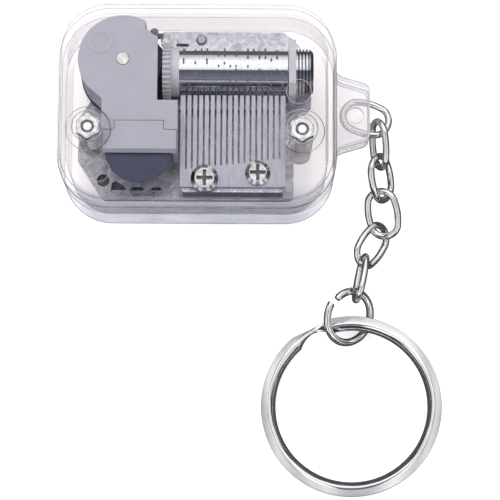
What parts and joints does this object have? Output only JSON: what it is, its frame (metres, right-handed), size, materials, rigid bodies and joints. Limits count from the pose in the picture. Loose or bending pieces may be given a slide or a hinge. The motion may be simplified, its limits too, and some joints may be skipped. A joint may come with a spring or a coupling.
{
  "type": "key-chain cylinder music box",
  "caption": "Wind-up cylinder music box in a clear rounded case, with a pinned cylinder, tuned steel comb, spring barrel and worm governor, on a link chain with a split key ring.",
  "frame": {"origin": "centre of the case's flat back face, on the table", "axes": "+X towards the chain lug, +Y towards the cylinder side of the case, +Z out of the clear front"},
  "size_m": [0.0684, 0.0859, 0.02],
  "materials": {
    "clear_plastic": "clear, polished",
    "polished_nickel": "polished",
    "bright_steel": "satin",
    "cast_zinc": "as cast",
    "comb_steel": "satin",
    "weight_metal": "dull",
    "cylinder_nickel": "polished",
    "white_plastic": "translucent white",
    "navy_plastic": "satin",
    "grey_plastic": "satin"
  },
  "bodies": {
    "case": {"front_shell": "clear_plastic", "back_shell": "clear_plastic", "case_bolt_left": "polished_nickel", "case_bolt_right": "polished_nickel", "case_nut_left": "polished_nickel", "case_nut_right": "polished_nickel", "bedplate": "cast_zinc", "deck_rivet": "polished_nickel", "comb": "comb_steel", "comb_weights": "weight_metal", "comb_screw_left": "polished_nickel", "comb_screw_right": "polished_nickel", "cylinder_shaft": "bright_steel", "end_plate": "white_plastic", "bearing_cup": "cast_zinc", "gear_cover": "grey_plastic", "governor_bridge": "grey_plastic", "click_spring": "bright_steel"},
    "cylinder": {"cylinder_tube": "cylinder_nickel", "cylinder_pins": "cylinder_nickel", "cylinder_wheel": "white_plastic", "cylinder_plug": "white_plastic"},
    "barrel": {"spring_barrel": "navy_plastic", "barrel_lid": "navy_plastic", "mainspring": "bright_steel"},
    "winder": {"winding_arbor": "bright_steel", "ratchet_wheel": "bright_steel", "winding_knob": "navy_plastic"},
    "click": {"click": "bright_steel"},
    "idler": {"idler_shaft": "bright_steel", "idler_gear": "white_plastic", "worm_wheel": "white_plastic"},
    "governor": {"governor_worm": "bright_steel", "governor_disc": "navy_plastic", "governor_weight_a": "weight_metal", "governor_weight_b": "weight_metal"},
    "link_1": {"chain_link_1": "polished_nickel"},
    "link_2": {"chain_link_2": "polished_nickel"},
    "link_3": {"chain_link_3": "polished_nickel"},
    "link_4": {"chain_link_4": "polished_nickel"},
    "link_5": {"chain_link_5": "polished_nickel"},
    "link_6": {"chain_link_6": "polished_nickel"},
    "jump_ring": {"jump_ring": "polished_nickel"},
    "key_ring": {"split_ring": "polished_nickel"}
  },
  "joints": [
    {"name": "cylinder_spin", "type": "hinge", "parent": "case", "child": "cylinder", "pos_m": [0, 0.0073, 0.0122], "axis": [1, 0, 0], "continuous": true},
    {"name": "barrel_spin", "type": "hinge", "parent": "case", "child": "barrel", "pos_m": [-0.0133, 0.0083, 0.01], "axis": [0, 0, 1], "continuous": true},
    {"name": "idler_spin", "type": "hinge", "parent": "case", "child": "idler", "pos_m": [-0.0105, -0.00255, 0.01053], "axis": [1, 0, 0], "continuous": true},
    {"name": "governor_spin", "type": "hinge", "parent": "case", "child": "governor", "pos_m": [-0.01045, -0.0079, 0.01], "axis": [0, 0, 1], "continuous": true},
    {"name": "winding_turn", "type": "hinge", "parent": "case", "child": "winder", "pos_m": [-0.0133, 0.0083, 0.003], "axis": [0, 0, 1], "continuous": true},
    {"name": "click_lift", "type": "hinge", "parent": "case", "child": "click", "pos_m": [-0.0186, 0.0083, 0.01525], "axis": [0, 0, 1], "range_deg": [-6, 0], "stiffness_Nm_per_rad": 0.001},
    {"name": "link_1_swing", "type": "hinge", "parent": "case", "child": "link_1", "pos_m": [0.0282, 0, 0.01], "axis": [0, 0, 1], "range_deg": [-1, 45]},
    {"name": "link_2_swing", "type": "hinge", "parent": "link_1", "child": "link_2", "pos_m": [0.03239, -0.00347, 0.01], "axis": [0.9397, 0.342, 0], "range_deg": [-12, 3]},
    {"name": "link_3_swing", "type": "hinge", "parent": "link_2", "child": "link_3", "pos_m": [0.03247, -0.00861, 0.00713], "axis": [0.3841, -0.5801, 0.7183], "range_deg": [-25, 25]},
    {"name": "link_4_swing", "type": "hinge", "parent": "link_3", "child": "link_4", "pos_m": [0.03301, -0.01437, 0.00458], "axis": [0.6009, 0.0311, -0.7987], "range_deg": [-25, 25]},
    {"name": "link_5_swing", "type": "hinge", "parent": "link_4", "child": "link_5", "pos_m": [0.03286, -0.02039, 0.00227], "axis": [0.8824, -0.421, 0.2101], "range_deg": [-25, 25]},
    {"name": "link_6_swing", "type": "hinge", "parent": "link_5", "child": "link_6", "pos_m": [0.02976, -0.02614, 0.00365], "axis": [0.6561, -0.2506, -0.7119], "range_deg": [-25, 25]},
    {"name": "jump_ring_swing", "type": "hinge", "parent": "link_6", "child": "jump_ring", "pos_m": [0.02845, -0.03264, 0.00432], "axis": [0.1147, -0.175, 0.9779], "range_deg": [-20, 20]},
    {"name": "key_ring_swing", "type": "hinge", "parent": "jump_ring", "child": "key_ring", "pos_m": [0.02721, -0.03565, 0.00395], "axis": [0.548, -0.3173, 0.774], "range_deg": [-30, 30]}
  ],
  "couplings": [
    {"joint": "barrel_spin", "follows": "cylinder_spin", "ratio": 0.64286},
    {"joint": "idler_spin", "follows": "cylinder_spin", "ratio": -1.0286},
    {"joint": "governor_spin", "follows": "cylinder_spin", "ratio": -30.857}
  ]
}
